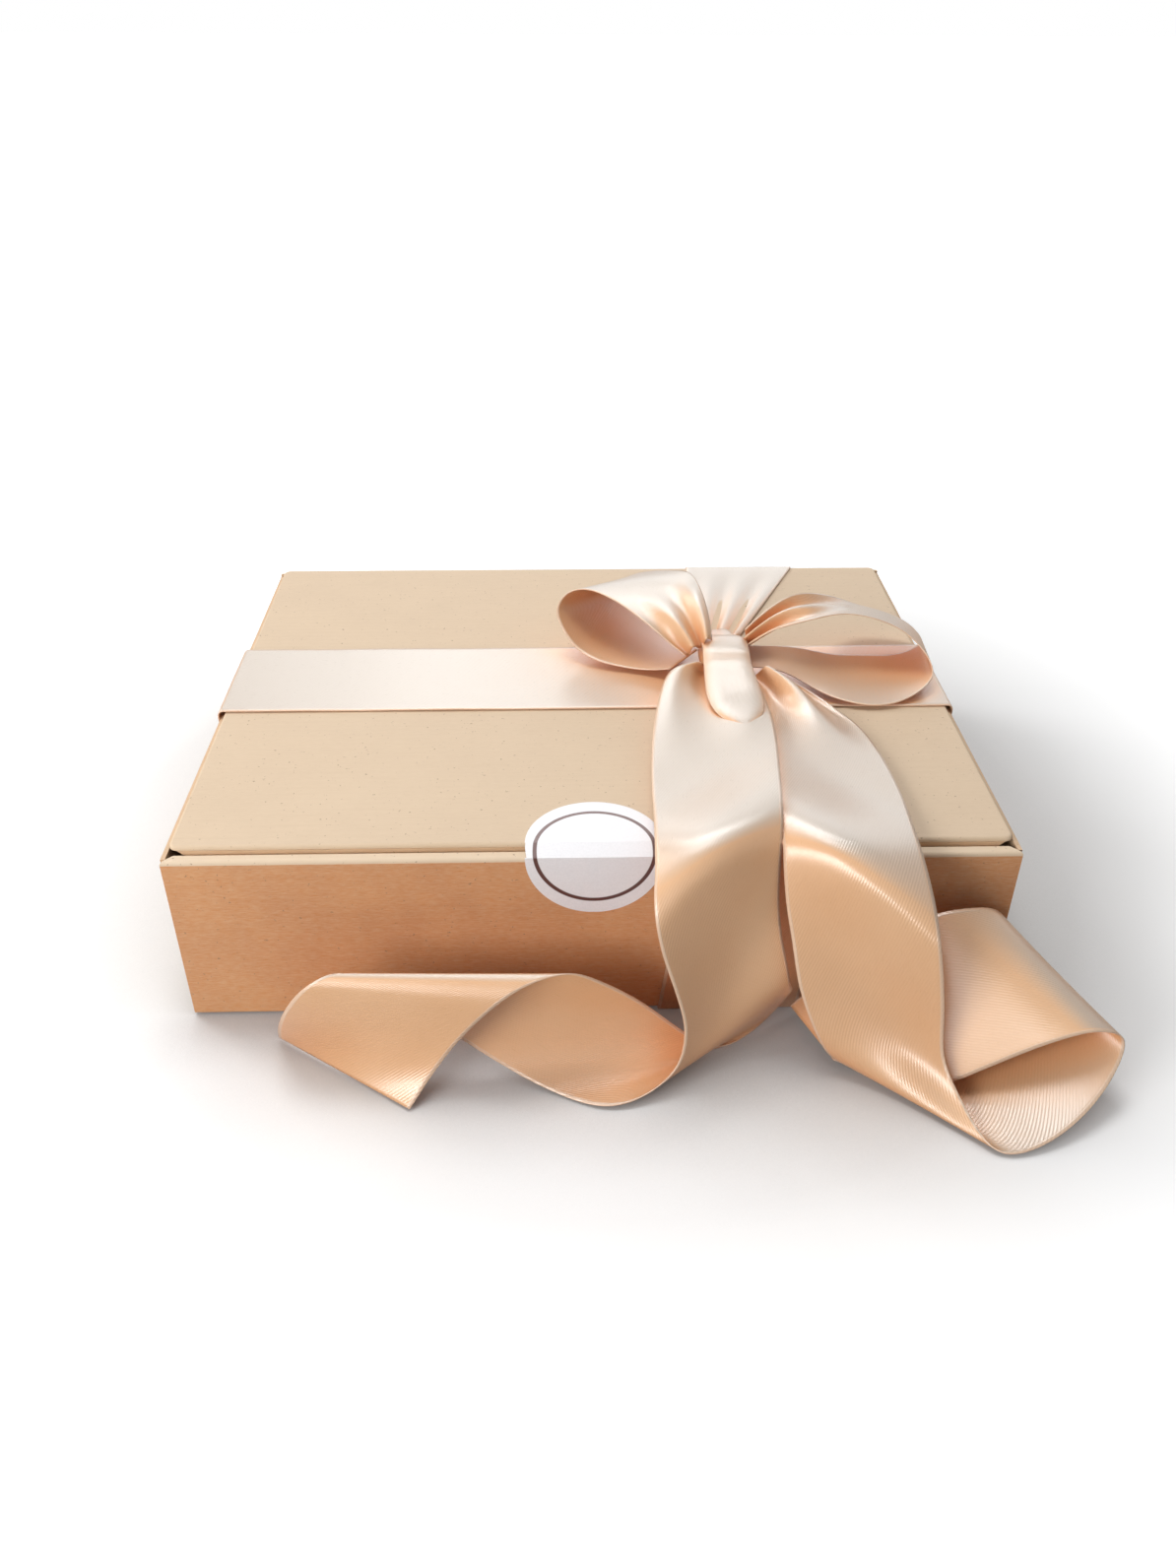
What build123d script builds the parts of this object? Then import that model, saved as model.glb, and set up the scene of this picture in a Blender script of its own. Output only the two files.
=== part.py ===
"""Kraft mailer box of chocolates, tied crosswise with a wide satin ribbon and a bow.

Millimetres, +Z up. The origin is the centre of the footprint, on the surface the box
stands on. +X runs along the long front, +Y from the front to the hinged back.
"""
from build123d import *
from math import cos, pi, radians, sin
import os

os.makedirs("parts", exist_ok=True)

# Carton, outside sizes
box_width = 284.0
box_depth = 222.0
box_height = 71.0
board = 1.5
crease_radius = 1.2
wall_drop = 2.5
body_gap = 0.3
hinge_gap = 0.1

# Double front wall: outer panel, trapped corner flaps, inner panel
roll_over_depth = 3 * board
tab_width = 34.0
tab_pitch = 150.0
tab_clearance = 0.3
corner_flap_length = 38.0
corner_flap_taper = 9.0
flap_drop = 1.2

# Lid and the flaps that hang from it
lid_side_gap = 0.3
lid_setback = 5.0
lid_corner_radius = 3.0
flap_length = 33.0
tuck_lean = 5.5
tuck_end_gap = 3.0
dust_front_gap = 8.0
dust_back_gap = 4.0

# Ribbon
ribbon_width = 50.0
ribbon_thickness = 0.45
cross_band_y = 4.5
back_band_x = 75.0
front_band_top_x = 56.0
front_band_foot_x = 48.0
gather_width = 17.0

# Seal label
label_diameter = 46.0
label_thickness = 0.12
label_gap = 0.08

# Contents: divider, cups, sweets and pad
cell_columns = 6
cell_rows = 5
divider_height = 24.0
divider_board = 0.8
divider_gap = 0.15
insert_side_gap = 1.2
cup_base_radius = 13.0
cup_top_radius = 17.5
cup_height = 16.0
cup_wall = 0.6
cup_flutes = 12
cup_flute_depth = 0.7
sweet_radius = 11.5
sweet_sides = 12
sweet_height = 17.0
sweet_gap = 0.2
pad_thickness = 7.0
pad_side_gap = 4.0
pad_corner_radius = 12.0
pad_crown = 1.6

# Knot and bow
knot_x = 54.0
knot_length = 19.0
knot_width = 27.0
knot_height = 17.0
knot_gap = 0.3
knot_pleats = 9
knot_pleat_share = 0.06
station_steps = 2

# Heights and planes that the pieces share
floor_top = ribbon_thickness
base_top = floor_top + board
wall_top = box_height - wall_drop
lid_under = box_height - board
half_width = box_width / 2
half_depth = box_depth / 2
front_face = -half_depth
inner_front = front_face + roll_over_depth
side_inside = half_width - board
back_inside = half_depth - board
lid_half_width = side_inside - lid_side_gap
lid_front = front_face + lid_setback
band_rise = box_height + body_gap
band_top = band_rise + ribbon_thickness


def save(piece, name):
    """Label a finished piece and write its file."""
    piece.part.label = name
    export_step(piece.part, f"parts/{name}.step")


def flat_face(*points):
    """Flat face with these corners."""
    return Face(Wire.make_polygon(points, close=True))


def faceted(rings):
    """Solid through rings of points, with flat ends and flat triangles split alike on opposite sides."""
    faces = [flat_face(*rings[0]), flat_face(*rings[-1])]
    for near, far in zip(rings, rings[1:]):
        sides = zip(near, near[1:] + near[:1], far[1:] + far[:1], far)
        for k, (a, b, c, d) in enumerate(sides):
            first_half = 2 * k < len(near)
            halves = ((a, b, c), (a, c, d)) if first_half else ((a, b, d), (b, c, d))
            faces += [flat_face(*half) for half in halves]
    return Solid(Shell(faces))


def strip(stations, thickness):
    """Thin ribbon through stations of (centre, ruling, travel, ruling length)."""
    rings = []
    for centre, ruling, travel, length in stations:
        reach = ruling * length / 2
        depth = travel.cross(ruling) * thickness / 2
        left, right = centre - reach, centre + reach
        rings.append([left - depth, right - depth, right + depth, left + depth])
    with BuildPart() as ribbon:
        add(faceted(rings))
    return ribbon


# Base panel with the two lock slots along the front
tab_places = [(-tab_pitch / 2, inner_front - board / 2), (tab_pitch / 2, inner_front - board / 2)]
with BuildPart() as base_panel:
    with BuildSketch(Plane.XY.offset(floor_top)):
        Rectangle(box_width - 2 * board, box_depth - 2 * board)
        with Locations(*tab_places):
            Rectangle(tab_width + 2 * tab_clearance, board + 2 * tab_clearance, mode=Mode.SUBTRACT)
    extrude(amount=board)
save(base_panel, "base_panel")

# Outer front wall, its top edge running on into the roll-over strip
with BuildPart() as front_wall:
    with BuildSketch(Plane.YZ.offset(-half_width)):
        with BuildLine():
            Polyline(
                (front_face, floor_top),
                (front_face, wall_top - board),
                (front_face + board, wall_top - board),
                (front_face + board, floor_top),
                close=True,
            )
        make_face()
    extrude(amount=box_width)
    fillet(front_wall.edges().filter_by(Axis.X).group_by(Axis.Z)[0].sort_by(Axis.Y)[0], crease_radius)
save(front_wall, "front_wall_outer")

# Roll-over strip, mitred at both ends where it meets the side walls
with BuildPart() as roll_over:
    with BuildSketch(Plane.XY.offset(wall_top - board)):
        with BuildLine():
            Polyline(
                (-half_width, front_face),
                (half_width, front_face),
                (half_width - roll_over_depth, inner_front),
                (-half_width + roll_over_depth, inner_front),
                close=True,
            )
        make_face()
    extrude(amount=board)
    fillet(roll_over.faces().sort_by(Axis.Z)[-1].edges().filter_by(Axis.X), crease_radius)
save(roll_over, "front_roll_over")

# Inner front wall with its lock tabs through the base
inner_half = half_width - roll_over_depth
with BuildPart() as inner_wall:
    with BuildSketch(Plane.XZ.offset(-inner_front)):
        with BuildLine():
            Polyline(
                (-inner_half, base_top),
                (-inner_half, wall_top - board),
                (inner_half, wall_top - board),
                (inner_half, base_top),
                close=True,
            )
        make_face()
        with Locations(*[(x, floor_top + board / 2) for x, _ in tab_places]):
            Rectangle(tab_width, board)
    extrude(amount=board)
save(inner_wall, "front_wall_inner")

# Side walls
for side, name in ((-1, "left"), (1, "right")):
    with BuildPart() as side_wall:
        with BuildSketch(Plane.XY.offset(floor_top)):
            with Locations((side * (half_width - board / 2), 0)):
                Rectangle(board, box_depth - 2 * board)
        extrude(amount=wall_top - floor_top)
        corner = side_wall.edges().filter_by(Axis.Y).group_by(Axis.Z)[0].sort_by(Axis.X)
        fillet(corner[0] if side < 0 else corner[-1], crease_radius)
    save(side_wall, f"{name}_side_wall")

# Corner flaps of the side walls: trapped in the front wall and tucked behind the back wall
flap_rows = {
    "front": (front_face + board, front_face + 2 * board),
    "back": (back_inside - board, back_inside),
}
flap_foot = base_top + flap_drop
flap_head = wall_top - board - flap_drop
for side, hand in ((-1, "left"), (1, "right")):
    for row, (near, far) in flap_rows.items():
        root = side * side_inside
        tip = side * (side_inside - corner_flap_length)
        with BuildPart() as corner_flap:
            with BuildSketch(Plane.XZ.offset(-far)):
                with BuildLine():
                    Polyline(
                        (root, flap_foot),
                        (tip, flap_foot + corner_flap_taper),
                        (tip, flap_head - corner_flap_taper),
                        (root, flap_head),
                        close=True,
                    )
                make_face()
            extrude(amount=far - near)
        save(corner_flap, f"{hand}_{row}_corner_flap")

# Back wall, which carries the lid at its top edge
with BuildPart() as back_wall:
    with BuildSketch(Plane.XY.offset(floor_top)):
        with Locations((0, half_depth - board / 2)):
            Rectangle(box_width, board)
    extrude(amount=lid_under - hinge_gap - floor_top)
    fillet(back_wall.edges().filter_by(Axis.X).group_by(Axis.Z)[0].sort_by(Axis.Y)[-1], crease_radius)
save(back_wall, "back_wall")

# Lid panel, set back from the front and let in between the side walls
with BuildPart() as lid_panel:
    with BuildSketch(Plane.XY.offset(lid_under)):
        with BuildLine():
            Polyline(
                (-lid_half_width, lid_front),
                (lid_half_width, lid_front),
                (lid_half_width, half_depth),
                (-lid_half_width, half_depth),
                close=True,
            )
        make_face()
    extrude(amount=board)
    fillet(lid_panel.edges().filter_by(Axis.Z), lid_corner_radius)
    fillet(lid_panel.faces().sort_by(Axis.Z)[-1].edges().filter_by(Axis.X), crease_radius)
save(lid_panel, "lid_panel")

# Tuck flap: hangs behind the front wall, leaning in so that it clears it as the lid lifts
tuck_half = lid_half_width - tuck_end_gap
tuck_axis = (0, lid_front + board, lid_under)
with BuildPart() as tuck_flap:
    with BuildSketch(Plane(origin=tuck_axis, x_dir=(1, 0, 0), z_dir=(0, -1, 0))):
        with BuildLine():
            Polyline(
                (-tuck_half, 0),
                (-tuck_half + flap_length, -flap_length),
                (tuck_half - flap_length, -flap_length),
                (tuck_half, 0),
                close=True,
            )
        make_face()
    extrude(amount=board)
tuck_flap.part = tuck_flap.part.rotate(Axis(tuck_axis, (1, 0, 0)), tuck_lean)
save(tuck_flap, "tuck_flap")

# Dust flaps at the lid's sides, mitred so that all three flaps fold in together
dust_front = inner_front + dust_front_gap
dust_back = back_inside - board - dust_back_gap
for side, hand in ((-1, "left"), (1, "right")):
    plane_x = side * lid_half_width
    with BuildPart() as dust_flap:
        with BuildSketch(Plane.YZ.offset(plane_x)):
            with BuildLine():
                Polyline(
                    (dust_front, lid_under),
                    (dust_front + flap_length, lid_under - flap_length),
                    (dust_back - flap_length, lid_under - flap_length),
                    (dust_back, lid_under),
                    close=True,
                )
            make_face()
        extrude(amount=-side * board)
    save(dust_flap, f"{hand}_dust_flap")

# Seal label: one round label folded over the front of the lid
label_radius = label_diameter / 2
label_base = box_height + label_gap
label_face = front_face - label_gap
label_bend = front_face - label_gap - label_thickness
with BuildPart() as seal_label:
    with BuildSketch(Plane.YZ.offset(-label_radius)):
        with BuildLine():
            Polyline(
                (lid_front + label_radius, label_base),
                (lid_front, label_base),
                (label_face, wall_top + label_gap),
                (label_face, wall_top + label_gap - label_radius),
                (label_bend, wall_top + label_gap - label_radius),
                (label_bend, wall_top + label_gap + label_thickness),
                (lid_front, label_base + label_thickness),
                (lid_front + label_radius, label_base + label_thickness),
                close=True,
            )
        make_face()
    extrude(amount=label_diameter)
    with BuildSketch(Plane.XY):
        Rectangle(label_diameter, box_depth)
        with Locations((0, lid_front)):
            Circle(label_radius, mode=Mode.SUBTRACT)
    extrude(amount=2 * box_height, mode=Mode.SUBTRACT)
    with BuildSketch(Plane.XZ.offset(half_depth)):
        with Locations((0, wall_top)):
            Rectangle(2 * label_diameter, 2 * label_diameter)
            Circle(label_radius, mode=Mode.SUBTRACT)
    extrude(amount=-lid_setback, both=True, mode=Mode.SUBTRACT)
save(seal_label, "seal_label")

# Divider: slotted strips that cross in halved joints
insert_half_x = inner_half - insert_side_gap
insert_front = inner_front + insert_side_gap
insert_back = back_inside - board - insert_side_gap
insert_depth = insert_back - insert_front
insert_mid = (insert_front + insert_back) / 2
cell_x = 2 * insert_half_x / cell_columns
cell_y = insert_depth / cell_rows
column_lines = [-insert_half_x + cell_x * i for i in range(1, cell_columns)]
row_lines = [insert_front + cell_y * j for j in range(1, cell_rows)]
divider_base = base_top
half_divider = divider_height / 2
with BuildPart() as long_strips:
    for y in row_lines:
        with BuildSketch(Plane.XZ.offset(-y - divider_board / 2)):
            with Locations((0, divider_base + half_divider)):
                Rectangle(2 * insert_half_x, divider_height)
            with Locations(*[(x, divider_base + half_divider / 2) for x in column_lines]):
                Rectangle(divider_board + 2 * divider_gap, half_divider, mode=Mode.SUBTRACT)
        extrude(amount=divider_board)
save(long_strips, "divider_long_strips")

with BuildPart() as cross_strips:
    for x in column_lines:
        with BuildSketch(Plane.YZ.offset(x - divider_board / 2)):
            with Locations((insert_mid, divider_base + half_divider)):
                Rectangle(insert_depth, divider_height)
            with Locations(*[(y, divider_base + half_divider * 3 / 2) for y in row_lines]):
                Rectangle(divider_board + 2 * divider_gap, half_divider, mode=Mode.SUBTRACT)
        extrude(amount=divider_board)
save(cross_strips, "divider_cross_strips")

# Cell centres, shared out among four kinds of sweet
cells = [
    (-insert_half_x + cell_x * (i + 1 / 2), insert_front + cell_y * (j + 1 / 2), (i + 2 * j) % 4)
    for i in range(cell_columns)
    for j in range(cell_rows)
]


def level_ring(radius, height, sides, flute_depth=0.0):
    """Points round an upright axis at one height, every second one drawn in by the flute's depth."""
    ring = []
    for k in range(sides):
        reach = radius - flute_depth * (k % 2)
        turn = 2 * pi * k / sides
        ring.append(Vector(reach * cos(turn), reach * sin(turn), height))
    return ring


# Fluted paper cups, one in each cell
cup_sides = 2 * cup_flutes
cup_brim = base_top + cup_height
cup_lining = cup_flute_depth + cup_wall
with BuildPart() as cup:
    add(
        faceted(
            [
                level_ring(cup_base_radius, base_top, cup_sides, cup_flute_depth),
                level_ring(cup_top_radius, cup_brim, cup_sides, cup_flute_depth),
            ]
        )
    )
    add(
        faceted(
            [
                level_ring(cup_base_radius - cup_lining, base_top + cup_wall, cup_flutes),
                level_ring(cup_top_radius - cup_lining, cup_brim, cup_flutes),
            ]
        ),
        mode=Mode.SUBTRACT,
    )
with BuildPart() as paper_cups:
    with Locations(*[(x, y, 0) for x, y, _ in cells]):
        add(cup.part)
save(paper_cups, "paper_cups")

# Sweets standing in the cups
sweet_base = base_top + cup_wall + sweet_gap
truffle_shares = ((0.6, 0), (0.97, 0.32), (0.9, 0.68), (0.5, 0.94), (0.2, 1))
bonbon_shares = ((1, 0), (1, 0.3), (0.88, 0.66), (0.5, 0.93), (0.2, 1))


def round_sweet(shares):
    """Round sweet in rings, from shares of its radius and height."""
    rings = [level_ring(r * sweet_radius, sweet_base + h * sweet_height, sweet_sides) for r, h in shares]
    with BuildPart() as sweet:
        add(faceted(rings))
    return sweet


truffle = round_sweet(truffle_shares)
bonbon = round_sweet(bonbon_shares)

with BuildPart() as praline:
    with BuildSketch(Plane.XY.offset(sweet_base)) as praline_outline:
        Rectangle(sweet_radius * 3 / 2, sweet_radius * 3 / 2)
        chamfer(praline_outline.vertices(), sweet_radius / 5)
    extrude(amount=sweet_height * 4 / 5, taper=5)
    chamfer(praline.faces().sort_by(Axis.Z)[-1].edges(), sweet_radius / 10)

with BuildPart() as barrel:
    with BuildSketch(Plane.XY.offset(sweet_base)):
        RegularPolygon(sweet_radius, 6)
    extrude(amount=sweet_height * 4 / 5, taper=8)
    chamfer(barrel.faces().sort_by(Axis.Z)[-1].edges(), sweet_radius / 10)

sweets = (
    (truffle, "truffles"),
    (praline, "square_pralines"),
    (bonbon, "domed_bonbons"),
    (barrel, "hexagon_fondants"),
)
for kind, (sweet, name) in enumerate(sweets):
    with BuildPart() as group:
        with Locations(*[(x, y, 0) for x, y, k in cells if k == kind]):
            add(sweet.part)
    save(group, name)

# Padded sheet laid over the sweets, crowned, its edge drawn in
pad_base = base_top + divider_height + sweet_gap
pad_size_x = 2 * (insert_half_x - pad_side_gap)
pad_size_y = insert_depth - 2 * pad_side_gap
pad_levels = (
    (0, pad_crown),
    (pad_thickness / 3, 0),
    (pad_thickness * 2 / 3, 0),
    (pad_thickness, 2 * pad_crown),
)
with BuildPart() as cushion_pad:
    for level, inset in pad_levels:
        with BuildSketch(Plane.XY.offset(pad_base + level)):
            with Locations((0, insert_mid)):
                RectangleRounded(pad_size_x - 2 * inset, pad_size_y - 2 * inset, pad_corner_radius)
    loft(ruled=True)
save(cushion_pad, "cushion_pad")

# Ribbon under the base: one band across, and the other butting against it front and back
band_front = cross_band_y - ribbon_width / 2
band_back = cross_band_y + ribbon_width / 2
with BuildPart() as under_cross:
    with BuildSketch(Plane.XY):
        with Locations((0, cross_band_y)):
            Rectangle(box_width, ribbon_width)
    extrude(amount=ribbon_thickness)
save(under_cross, "under_band_cross")
with BuildPart() as under_front:
    with BuildSketch(Plane.XY):
        with BuildLine():
            Polyline(
                (front_band_foot_x - ribbon_width / 2, front_face),
                (front_band_foot_x + ribbon_width / 2, front_face),
                (front_band_top_x + ribbon_width / 2, band_front),
                (front_band_top_x - ribbon_width / 2, band_front),
                close=True,
            )
        make_face()
    extrude(amount=ribbon_thickness)
save(under_front, "under_band_front")
with BuildPart() as under_back:
    with BuildSketch(Plane.XY):
        with BuildLine():
            Polyline(
                (back_band_x - ribbon_width / 2, half_depth),
                (back_band_x + ribbon_width / 2, half_depth),
                (front_band_top_x + ribbon_width / 2, band_back),
                (front_band_top_x - ribbon_width / 2, band_back),
                close=True,
            )
        make_face()
    extrude(amount=ribbon_thickness)
save(under_back, "under_band_back")

# Cross band: over the lid from side to side and down both side walls
band_reach = half_width + body_gap
with BuildPart() as cross_top:
    with BuildSketch(Plane.XY.offset(band_rise)):
        with Locations((0, cross_band_y)):
            Rectangle(2 * band_reach + 2 * ribbon_thickness, ribbon_width)
    extrude(amount=ribbon_thickness)
save(cross_top, "cross_band_top")
for side, hand in ((-1, "left"), (1, "right")):
    with BuildPart() as cross_drop:
        with BuildSketch(Plane.XY):
            with Locations((side * (band_reach + ribbon_thickness / 2), cross_band_y)):
                Rectangle(ribbon_thickness, ribbon_width)
        extrude(amount=band_rise)
    save(cross_drop, f"cross_band_{hand}")

# Front-to-back band: gathered at the knot, spreading to its full width at each edge
knot_front = cross_band_y - knot_width / 2
gather = gather_width / 2
half_ribbon = ribbon_width / 2
front_reach = front_face - body_gap
back_reach = half_depth + body_gap
with BuildPart() as front_top:
    with BuildSketch(Plane.XY.offset(band_rise)):
        with BuildLine():
            Polyline(
                (knot_x - gather, band_front - body_gap),
                (knot_x + gather, band_front - body_gap),
                (front_band_top_x + half_ribbon, band_front - half_ribbon),
                (front_band_top_x + half_ribbon, front_reach - ribbon_thickness),
                (front_band_top_x - half_ribbon, front_reach - ribbon_thickness),
                (front_band_top_x - half_ribbon, band_front - half_ribbon),
                close=True,
            )
        make_face()
    extrude(amount=ribbon_thickness)
save(front_top, "front_band_top")
with BuildPart() as front_drop:
    with BuildSketch(Plane.XZ.offset(-front_reach)):
        with BuildLine():
            Polyline(
                (front_band_foot_x - half_ribbon, 0),
                (front_band_foot_x + half_ribbon, 0),
                (front_band_top_x + half_ribbon, band_rise),
                (front_band_top_x - half_ribbon, band_rise),
                close=True,
            )
        make_face()
    extrude(amount=ribbon_thickness)
save(front_drop, "front_band_drop")
with BuildPart() as back_top:
    with BuildSketch(Plane.XY.offset(band_rise)):
        with BuildLine():
            Polyline(
                (knot_x - gather, band_back + body_gap),
                (knot_x + gather, band_back + body_gap),
                (back_band_x + half_ribbon, back_reach + ribbon_thickness),
                (back_band_x - half_ribbon, back_reach + ribbon_thickness),
                close=True,
            )
        make_face()
    extrude(amount=ribbon_thickness)
save(back_top, "back_band_top")
with BuildPart() as back_drop:
    with BuildSketch(Plane.XY):
        with Locations((back_band_x, back_reach + ribbon_thickness / 2)):
            Rectangle(ribbon_width, ribbon_thickness)
    extrude(amount=band_rise)
save(back_drop, "back_band_drop")

# Knot: a plump, pleated barrel of ribbon sitting on the cross band
knot_foot = band_top + knot_gap
knot_mid = knot_foot + knot_height / 2
knot_shares = ((-1, 0.62), (-0.75, 0.8), (-0.4, 0.94), (0, 1), (0.4, 0.94), (0.75, 0.8), (1, 0.62))
knot_rings = []
for share, size_share in knot_shares:
    ring = []
    for k in range(2 * knot_pleats):
        fullness = size_share * (1 - knot_pleat_share * (k % 2))
        turn = pi * k / knot_pleats
        across = fullness * cos(turn) * knot_length / 2
        up = fullness * sin(turn) * knot_height / 2
        ring.append(Vector(knot_x + across, cross_band_y + share * knot_width / 2, knot_mid + up))
    knot_rings.append(ring)
with BuildPart() as knot:
    add(faceted(knot_rings))
save(knot, "bow_knot")


# Bow and tails as stations along the ribbon: centre across, deep and up, then the line
# across the ribbon there as a bearing and a rise in degrees, and its length.
# Across, and the lengths, are shares of the ribbon's width. In the loops so are deep and up,
# counted from the knot. In the tails deep is a share of the way from the knot to the front
# face, and up a share of the box's height.
left_tail_shares = (
    (-0.08, 0.004, 1.19, 0, 0, 0.36),
    (-0.12, 0.064, 1.155, -1, 0, 0.7),
    (-0.16, 0.349, 1.115, -2, 1, 0.89),
    (-0.23, 0.681, 1.101, -2, 1, 0.88),
    (-0.27, 0.956, 1.087, 0, -1, 0.83),
    (-0.28, 1.054, 0.972, 1, -2, 0.8),
    (-0.28, 1.108, 0.81, 1, -1, 0.8),
    (-0.24, 1.162, 0.637, 3, 1, 0.78),
    (-0.17, 1.206, 0.469, 8, 7, 0.75),
    (-0.13, 1.235, 0.327, 17, 15, 0.77),
    (-0.16, 1.25, 0.186, 30, 15, 1),
    (-0.42, 1.28, 0.044, 33, 3, 1.34),
    (-0.79, 1.298, 0.024, 16, 1, 1.24),
    (-1.12, 1.255, 0.12, 8, 1, 1.33),
    (-1.45, 1.23, 0.31, 6, 0, 1.4),
    (-1.76, 1.225, 0.486, 3, -1, 1.45),
    (-1.99, 1.234, 0.585, 0, -1, 1.46),
    (-2.26, 1.262, 0.528, -2, -1, 1.33),
    (-2.51, 1.258, 0.324, -10, -2, 1.19),
    (-2.69, 1.264, 0.134, -23, -1, 1.15),
    (-2.79, 1.283, 0.012, -35, 0, 1.17),
)
right_tail_shares = (
    (0.3, 0.004, 1.145, 0, -2, 0.3),
    (0.44, 0.08, 1.11, 0, -3, 0.44),
    (0.53, 0.18, 1.075, 1, -3, 0.6),
    (0.6, 0.343, 1.06, 3, -3, 0.76),
    (0.61, 0.681, 1.059, 1, -1, 0.87),
    (0.6, 0.961, 1.058, 1, -1, 0.87),
    (0.61, 1.069, 0.966, 0, -1, 0.92),
    (0.64, 1.147, 0.815, 0, -3, 0.97),
    (0.68, 1.211, 0.642, -1, -5, 0.97),
    (0.73, 1.27, 0.413, -4, -8, 0.96),
    (0.8, 1.348, 0.192, -15, -7, 0.86),
    (1.01, 1.479, 0.024, -43, 0, 1.05),
    (1.37, 1.472, 0.031, -45, 1, 1.03),
    (1.79, 1.341, 0.134, -51, 1, 1.05),
    (2.08, 1.196, 0.366, -57, -9, 1.04),
    (1.89, 1.24, 0.549, -57, -21, 0.99),
    (1.66, 1.257, 0.556, -55, -30, 1),
    (1.42, 1.257, 0.493, -51, -35, 1.05),
    (1.18, 1.26, 0.38, -51, -34, 1.03),
    (0.93, 1.255, 0.254, -55, -30, 0.98),
    (0.67, 1.216, 0.146, -58, -22, 0.78),
    (0.43, 1.162, 0.048, -64, -7, 0.52),
)
left_loop_shares = (
    (-0.2, -0.1, 0.14, 12, 28, 0.24),
    (-0.32, 0.13, 0.309, 37, 20, 0.5),
    (-0.48, 0.43, 0.379, 33, 8, 0.7),
    (-0.66, 0.65, 0.369, 30, -2, 0.85),
    (-0.86, 0.78, 0.299, 37, -4, 0.9),
    (-1.01, 0.78, 0.199, 48, -2, 0.92),
    (-1.02, 0.73, 0.079, 57, -1, 0.92),
    (-0.91, 0.63, -0.041, 57, 0, 0.92),
    (-0.73, 0.47, -0.101, 54, 0, 0.86),
    (-0.49, 0.27, -0.111, 50, 3, 0.62),
    (-0.295, 0.01, -0.031, 37, 15, 0.3),
)
right_loop_shares = (
    (0.185, 0.02, 0.125, 80, 45, 0.16),
    (0.46, 0.11, 0.289, 70, 30, 0.3),
    (0.72, 0.15, 0.339, 72, 0, 0.5),
    (1.04, 0.33, 0.259, 72, -18, 0.75),
    (1.34, 0.33, 0.189, 73, -20, 0.75),
    (1.56, 0.27, 0.099, 75, -18, 0.7),
    (1.68, 0.11, -0.001, 80, -12, 0.66),
    (1.66, 0.01, -0.081, 84, -4, 0.68),
    (1.42, -0.15, -0.121, 82, 3, 0.7),
    (1.14, -0.19, -0.117, 82, 5, 0.72),
    (0.83, -0.17, -0.077, 82, 8, 0.55),
    (0.5, -0.06, 0.003, 88, 25, 0.25),
    (0.2, -0.02, 0.009, 88, 30, 0.2),
)


def smoothed(rows):
    """Table with further rows between its own, on a smooth curve through all of them."""
    padded = [rows[0], *rows, rows[-1]]
    fine = []
    for quartet in zip(padded, padded[1:], padded[2:], padded[3:]):
        for step in range(station_steps):
            t = step / station_steps
            fine.append(
                tuple(
                    b + t / 2 * (c - a + t * (2 * a - 5 * b + 4 * c - d + t * (3 * b - 3 * c + d - a)))
                    for a, b, c, d in zip(*quartet)
                )
            )
    return [*fine, rows[-1]]


def ribbon_end(table, origin, reach):
    """Ribbon through the stations of a table of shares, counted from an origin."""
    shares = smoothed(table)
    centres = [
        origin + Vector(across * reach.X, deep * reach.Y, up * reach.Z) for across, deep, up, *_ in shares
    ]
    stations = []
    for k, (_, _, _, bearing, rise, length_share) in enumerate(shares):
        level = cos(radians(rise))
        ruling = Vector(level * cos(radians(bearing)), level * sin(radians(bearing)), sin(radians(rise)))
        travel = centres[min(k + 1, len(centres) - 1)] - centres[max(k - 1, 0)]
        travel = (travel - ruling * travel.dot(ruling)).normalized()
        stations.append((centres[k], ruling, travel, ribbon_width * length_share))
    return strip(stations, ribbon_thickness)


loop_origin = Vector(knot_x, cross_band_y, knot_mid)
loop_scale = Vector(ribbon_width, ribbon_width, ribbon_width)
tail_origin = Vector(knot_x, knot_front, 0)
tail_scale = Vector(ribbon_width, front_face - knot_front, box_height)
save(ribbon_end(left_loop_shares, loop_origin, loop_scale), "bow_loop_left")
save(ribbon_end(right_loop_shares, loop_origin, loop_scale), "bow_loop_right")
save(ribbon_end(left_tail_shares, tail_origin, tail_scale), "tail_left")
save(ribbon_end(right_tail_shares, tail_origin, tail_scale), "tail_right")
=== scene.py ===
"""Chocolate box in brown board, tied with a wide satin ribbon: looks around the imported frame."""
from math import cos, pi, radians, sin, sqrt

import bpy
from mathutils import Matrix, Vector


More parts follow.
